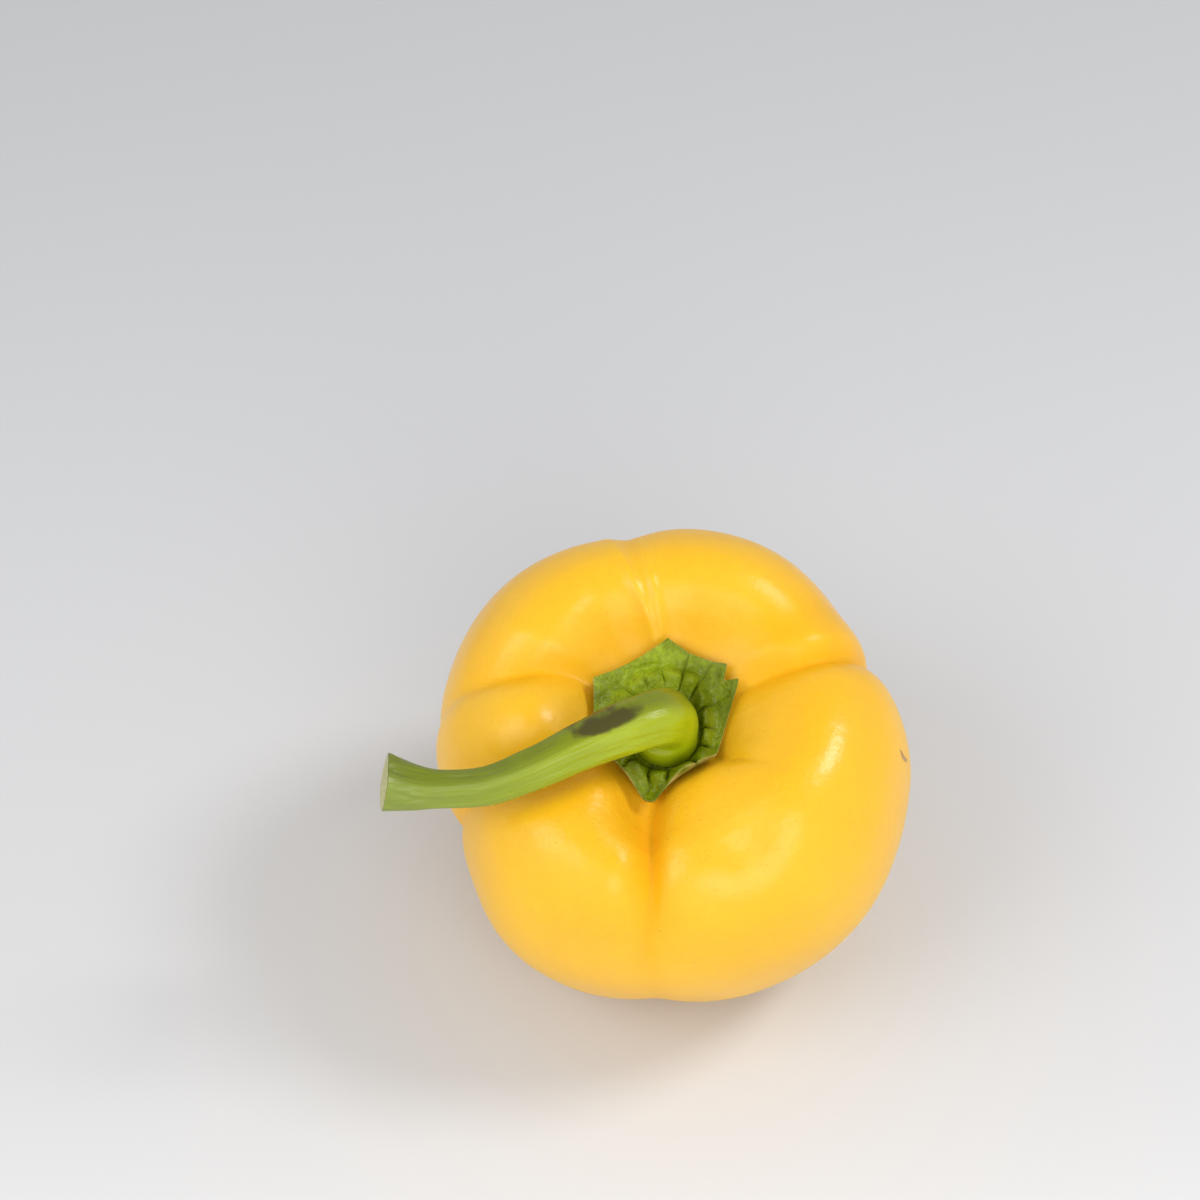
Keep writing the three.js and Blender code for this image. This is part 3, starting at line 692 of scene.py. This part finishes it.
def make_blemish():
    """One ragged spot of a given place and size."""
    group, given, out = new_group(
        "blemish",
        [("Centre", "NodeSocketVector", (0, 0, 0)), ("Size", "NodeSocketFloat", 0.001),
         ("Raggedness", "NodeSocketFloat", 1.2), ("Detail per metre", "NodeSocketFloat", 800.0)],
        [("Mask", "NodeSocketFloat")])
    place = place_of(group)
    apart = add_node(
        group, "ShaderNodeVectorMath", {0: place, 1: given["Centre"]}, operation="DISTANCE")
    noise = add_node(
        group, "ShaderNodeTexNoise", {"Vector": place, "Scale": given["Detail per metre"]})
    uneven = math_node(group, "SUBTRACT", noise.outputs["Fac"], 0.5)
    ragged = times(group, uneven, given["Raggedness"])
    share = math_node(group, "DIVIDE", apart.outputs["Value"], given["Size"])
    group.links.new(map_range(group, plus(group, share, ragged), 1.0, 0.5), out["Mask"])
    return group


def new_material(name):
    material = bpy.data.materials.new(name)
    material.use_nodes = True
    return material, material.node_tree, material.node_tree.nodes["Principled BSDF"]


def bump(tree, height, distance):
    inputs = {"Height": height, "Distance": distance}
    return add_node(tree, "ShaderNodeBump", inputs).outputs["Normal"]


# ---------------------------------------------------------------- the skin of the fruit

YELLOW = (0.85, 0.46, 0.010, 1)
PALE_YELLOW = (0.88, 0.51, 0.016, 1)
# orange for the skin's random flecks, and for the painted shade in its creases
ORANGE_TONE_AND_CREASE_SHADE = (0.82, 0.36, 0.006, 1)
SCAR_BROWN = (0.40, 0.18, 0.03, 1)
PORE_DEPTH = 0.05 * METRES

# heading, station and size of the brown marks: a small crescent on the side, and the blossom end's scar
SCARS = [
    (354.4, 7.18, 0.5), (354.0, 7.23, 0.6), (353.7, 7.29, 0.7), (353.6, 7.35, 0.7),
    (353.7, 7.41, 0.7), (354.0, 7.47, 0.6), (354.4, 7.52, 0.5), (0, LAST_STATION, 2.6),
]


def make_skin_material(mottle, dots, blemish):
    material, tree, shader = new_material("waxy yellow skin")
    clouds = add_group(tree, mottle, {"Patches per metre": 45.0, "Detail": 3.0})["Value"]
    flecks = add_group(tree, mottle, {"Patches per metre": 420.0, "Detail": 4.0})["Value"]
    pores = add_group(tree, dots, {"Dots per metre": 900.0, "Size": 0.22, "Share": 0.5})["Mask"]
    specks = add_group(tree, dots, {"Dots per metre": 160.0, "Size": 0.05, "Share": 0.25})["Mask"]
    in_crease = evenly(tree, field(tree, "hollow"), 0.2, 1.0, 0.0, 1.0)
    colour = mix_colours(tree, times(tree, clouds, 0.55), YELLOW, PALE_YELLOW)
    # painted shade: creases are painted more orange the deeper they are, standing in for the shade and
    # warm bounce light in them
    colour = mix_colours(tree, times(tree, in_crease, 0.45), colour, ORANGE_TONE_AND_CREASE_SHADE)
    colour = mix_colours(tree, times(tree, flecks, 0.12), colour, ORANGE_TONE_AND_CREASE_SHADE)
    colour = mix_colours(tree, times(tree, specks, 0.35), colour, SCAR_BROWN)
    for heading, station, size in SCARS:
        centre = set_down(skin_at(np.array([heading]), np.array([station]))[0])[0]
        spot = add_group(tree, blemish, {"Centre": tuple(centre), "Size": size * METRES})["Mask"]
        colour = mix_colours(tree, spot, colour, SCAR_BROWN)
    tree.links.new(colour, shader.inputs["Base Color"])
    roughness = plus(tree, evenly(tree, clouds, 0, 1, 0.27, 0.35), times(tree, in_crease, 0.15))
    tree.links.new(roughness, shader.inputs["Roughness"])
    tree.links.new(evenly(tree, in_crease, 0, 0.8, 0.5, 0.12), shader.inputs["Specular IOR Level"])
    peel = add_group(tree, mottle, {"Patches per metre": 700.0, "Detail": 2.0})["Value"]
    height = math_node(tree, "SUBTRACT", times(tree, peel, 0.5), pores)
    tree.links.new(bump(tree, height, PORE_DEPTH), shader.inputs["Normal"])
    shader.inputs["Subsurface Weight"].default_value = 0.15
    shader.inputs["Subsurface Radius"].default_value = (1.0, 0.5, 0.1)
    shader.inputs["Subsurface Scale"].default_value = 0.004
    shader.inputs["IOR"].default_value = 1.45
    return material


# ---------------------------------------------------------------- the skin of the calyx

LEAF_GREEN = (0.12, 0.155, 0.0005, 1)
LEAF_LIGHT = (0.22, 0.275, 0.002, 1)
# pale green for the calyx's paler side, partly its own tone and partly painted light
LEAF_PALE_AND_LIT = (0.42, 0.53, 0.02, 1)
# dark green for fine random flecks, and for the painted shade in the calyx's grooves
LEAF_DARK_AND_GROOVE_SHADE = (0.04, 0.06, 0.0005, 1)
RIM_TAN = (0.42, 0.33, 0.10, 1)
BLISTER_HEIGHT = 0.14 * METRES


def make_calyx_material(mottle, dots):
    material, tree, shader = new_material("crinkled green calyx")
    clouds = add_group(tree, mottle, {"Patches per metre": 260.0, "Detail": 4.0})["Value"]
    fine = add_group(tree, mottle, {"Patches per metre": 1500.0, "Detail": 3.0})["Value"]
    blisters = add_group(tree, dots, {"Dots per metre": 1300.0, "Size": 0.5, "Share": 0.8})["Mask"]
    groove = map_range(tree, field(tree, "groove"), 0.3, 0.9, 0.0, 0.8)
    colour = mix_colours(tree, times(tree, clouds, 0.7), LEAF_GREEN, LEAF_LIGHT)
    # partly painted light: one side of the calyx is painted paler, partly the leaf's own tone and partly
    # the light falling on that side
    pale = times(tree, field(tree, "pale"), map_range(tree, clouds, 0, 1, 0.5, 1.0))
    colour = mix_colours(tree, pale, colour, LEAF_PALE_AND_LIT)
    # painted shade: the grooves between the puffs are painted dark green, standing in for the shade in
    # them
    colour = mix_colours(tree, groove, colour, LEAF_DARK_AND_GROOVE_SHADE)
    colour = mix_colours(tree, times(tree, fine, 0.25), colour, LEAF_DARK_AND_GROOVE_SHADE)
    edge = times(tree, map_range(tree, field(tree, "outward"), 0.988, 0.999), clouds)
    colour = mix_colours(tree, edge, colour, RIM_TAN)
    tree.links.new(colour, shader.inputs["Base Color"])
    tree.links.new(evenly(tree, fine, 0, 1, 0.26, 0.38), shader.inputs["Roughness"])
    height = plus(tree, times(tree, blisters, 0.5), times(tree, fine, 0.5))
    tree.links.new(bump(tree, height, BLISTER_HEIGHT), shader.inputs["Normal"])
    shader.inputs["Specular IOR Level"].default_value = 0.22
    return material


# ---------------------------------------------------------------- the skin of the stem

STEM_LIME = (0.34, 0.40, 0.002, 1)
STEM_GREEN = (0.24, 0.295, 0.002, 1)
STEM_BLUE_GREEN = (0.19, 0.245, 0.03, 1)
STEM_STREAK = (0.30, 0.37, 0.08, 1)
# dark olive for the side turned up and back, partly the stem's own tone and partly painted shade
STEM_OLIVE_AND_SHADE = (0.10, 0.12, 0.004, 1)
BRUISE_BROWN = (0.05, 0.038, 0.008, 1)
CUT_PALE = (0.46, 0.44, 0.16, 1)
CUT_RIM = (0.16, 0.15, 0.04, 1)
BRUISE_ALONG = (0.49, 0.085)  # middle and half length, as shares of the stem's length
BRUISE_UPWARD = (0.8, 0.3)    # middle and half width, 1 being the side turned up and back
STRAND_HEIGHT = 0.1 * METRES


def patch(tree, first, second, ragged):
    """A ragged oval mask: each of two fields is given with its middle and half width."""
    parts = []
    for value, (middle, half) in (first, second):
        share = math_node(tree, "DIVIDE", math_node(tree, "SUBTRACT", value, middle), half)
        parts.append(times(tree, share, share))
    apart = plus(tree, plus(tree, *parts), times(tree, ragged, 0.9))
    return map_range(tree, apart, 1.5, 0.5)


def make_stem_material(mottle):
    material, tree, shader = new_material("ribbed green stem")
    along = field(tree, "along")
    upward = field(tree, "upward")
    cut = field(tree, "cut")
    clouds = add_group(tree, mottle, {"Patches per metre": 180.0, "Detail": 3.0})["Value"]
    fine = add_group(tree, mottle, {"Patches per metre": 1300.0, "Detail": 3.0})["Value"]
    strand_place = add_node(tree, "ShaderNodeCombineXYZ", {
        0: field(tree, "around"), 1: upward, 2: times(tree, along, 0.55)})
    strands = add_node(tree, "ShaderNodeTexNoise", {
        "Vector": strand_place.outputs[0], "Scale": 15.0, "Detail": 6.0}).outputs["Fac"]
    strand = map_range(tree, strands, 0.42, 0.64)
    colour = mix_colours(tree, map_range(tree, along, 0.42, 0.72), STEM_LIME, STEM_GREEN)
    colour = mix_colours(tree, map_range(tree, along, 0.6, 0.95), colour, STEM_BLUE_GREEN)
    streaky = times(tree, strand, map_range(tree, along, 0.25, 0.6, 0.02, 0.32))
    colour = mix_colours(tree, streaky, colour, STEM_STREAK)
    # partly painted shade: the side turned up and back is painted darker olive, partly the stem's own
    # tone and partly the shade on that side
    olive_and_shade_on_back = times(tree, map_range(tree, upward, 0.35, 0.95), 0.7)
    colour = mix_colours(tree, olive_and_shade_on_back, colour, STEM_OLIVE_AND_SHADE)
    colour = mix_colours(tree, times(tree, clouds, 0.25), colour, STEM_GREEN)
    bruise = patch(tree, (along, BRUISE_ALONG), (upward, BRUISE_UPWARD), clouds)
    colour = mix_colours(tree, times(tree, bruise, 0.9), colour, BRUISE_BROWN)
    colour = mix_colours(tree, map_range(tree, cut, 0.0, 0.25), colour, CUT_RIM)
    colour = mix_colours(tree, map_range(tree, cut, 0.25, 0.6), colour, CUT_PALE)
    colour = mix_colours(tree, times(tree, cut, times(tree, fine, 0.4)), colour, CUT_RIM)
    tree.links.new(colour, shader.inputs["Base Color"])
    tree.links.new(evenly(tree, strands, 0.3, 0.7, 0.26, 0.36), shader.inputs["Roughness"])
    height = plus(tree, times(tree, strands, 0.6), times(tree, fine, 0.2))
    tree.links.new(bump(tree, height, STRAND_HEIGHT), shader.inputs["Normal"])
    shader.inputs["Specular IOR Level"].default_value = 0.4
    return material


# ---------------------------------------------------------------- the floor

FLOOR_GREY = (0.635, 0.635, 0.645, 1)
FLOOR_PALE = (0.655, 0.655, 0.66, 1)
# a brighter floor near the front and a darker one far back: painted light and painted shade
FLOOR_PAINTED_LIGHT_NEAR = (0.78, 0.775, 0.77, 1)
FLOOR_PAINTED_SHADE_FAR = (0.52, 0.525, 0.535, 1)
FLOOR_HALF = 3.0


def make_floor():
    material, tree, shader = new_material("pale floor")
    place = place_of(tree)
    noise = add_node(tree, "ShaderNodeTexNoise", {"Vector": place, "Scale": 3.0})
    back = add_node(tree, "ShaderNodeSeparateXYZ", {0: place}).outputs["Y"]
    colour = mix_colours(tree, noise.outputs["Fac"], FLOOR_GREY, FLOOR_PALE)
    # painted light and shade: the floor is painted brighter just in front of the fruit and darker towards
    # the back, standing in for the lamps' falloff
    colour = mix_colours(tree, map_range(tree, back, -0.02, -0.14), colour, FLOOR_PAINTED_LIGHT_NEAR)
    colour = mix_colours(tree, map_range(tree, back, -0.1, 0.35), colour, FLOOR_PAINTED_SHADE_FAR)
    tree.links.new(colour, shader.inputs["Base Color"])
    shader.inputs["Roughness"].default_value = 0.85
    corners = [(x * FLOOR_HALF, y * FLOOR_HALF, 0) for x, y in [(-1, -1), (1, -1), (1, 1), (-1, 1)]]
    mesh = bpy.data.meshes.new("floor")
    mesh.from_pydata(corners, [], [(0, 1, 2, 3)])
    mesh.materials.append(material)
    floor = bpy.data.objects.new("floor", mesh)
    bpy.context.scene.collection.objects.link(floor)


# ---------------------------------------------------------------- light and camera

LIT_PLACE = (0, 0, 0.04)      # what the softboxes are turned to, in metres

# name, place in metres, width in metres, power in watts
SOFTBOXES = [
    ("key", (0.70, 0.06, 0.88), 0.34, 4.4),
    ("left fill", (-0.72, -0.48, 0.85), 0.8, 4.0),
    ("front fill", (0.22, -0.88, 0.66), 0.7, 3.2),
]
SKY_COLOUR = (0.97, 0.98, 1.0, 1)
BRIGHT_SIDE = (-0.3, -0.95, 0.0)      # the way to the brighter side of the sky
CAMERA_HEIGHT_ANGLE = 47      # degrees above the floor
CAMERA_DISTANCE = 0.617
CAMERA_LENS = 100
AIM_ASIDE = -0.0126           # from the seat of the stem to the middle of the view, across
AIM_UP = 0.0226               # and up


def aim(thing, place, target):
    thing.location = place
    thing.rotation_mode = "QUATERNION"
    thing.rotation_quaternion = (Vector(target) - Vector(place)).to_track_quat("-Z", "Y")


def make_softbox(name, place, size, power):
    light = bpy.data.lights.new(name, "AREA")
    light.shape = "DISK"
    light.size = size
    light.energy = power
    lamp = bpy.data.objects.new(name, light)
    bpy.context.scene.collection.objects.link(lamp)
    aim(lamp, place, LIT_PLACE)


def make_sky():
    """A plain sky, brighter on one side and dimmer overhead."""
    world = bpy.data.worlds.new("studio")
    world.use_nodes = True
    tree = world.node_tree
    way = add_node(tree, "ShaderNodeTexCoord").outputs["Generated"]
    toward = add_node(tree, "ShaderNodeVectorMath", {0: way, 1: BRIGHT_SIDE}, operation="DOT_PRODUCT")
    height = add_node(tree, "ShaderNodeSeparateXYZ", {0: way}).outputs["Z"]
    side_light = evenly(tree, toward.outputs["Value"], -1, 1, 0.65, 1.2)
    strength = times(tree, side_light, evenly(tree, height, 0.3, 0.9, 1.0, 0.5))
    sky = tree.nodes["Background"]
    tree.links.new(strength, sky.inputs["Strength"])
    sky.inputs["Color"].default_value = SKY_COLOUR
    bpy.context.scene.world = world


def make_camera():
    angle = math.radians(CAMERA_HEIGHT_ANGLE)
    up = Vector((0, math.sin(angle), math.cos(angle)))
    back = Vector((0, -math.cos(angle), math.sin(angle)))
    seat = Vector(set_down([(0, 0, SEAT_HEIGHT)])[0])
    target = seat + Vector((AIM_ASIDE, 0, 0)) + up * AIM_UP
    camera = bpy.data.objects.new("camera", bpy.data.cameras.new("camera"))
    camera.data.lens = CAMERA_LENS
    bpy.context.scene.collection.objects.link(camera)
    aim(camera, target + back * CAMERA_DISTANCE, target)
    bpy.context.scene.camera = camera


# ---------------------------------------------------------------- the pepper

mottle = make_mottle()
dots = make_dots()
blemish = make_blemish()
make_fruit(make_skin_material(mottle, dots, blemish))
make_calyx(make_calyx_material(mottle, dots))
make_stem(make_stem_material(mottle))
make_floor()
for name, place, size, power in SOFTBOXES:
    make_softbox(name, place, size, power)
make_sky()
make_camera()
bpy.context.scene.view_settings.view_transform = "Standard"
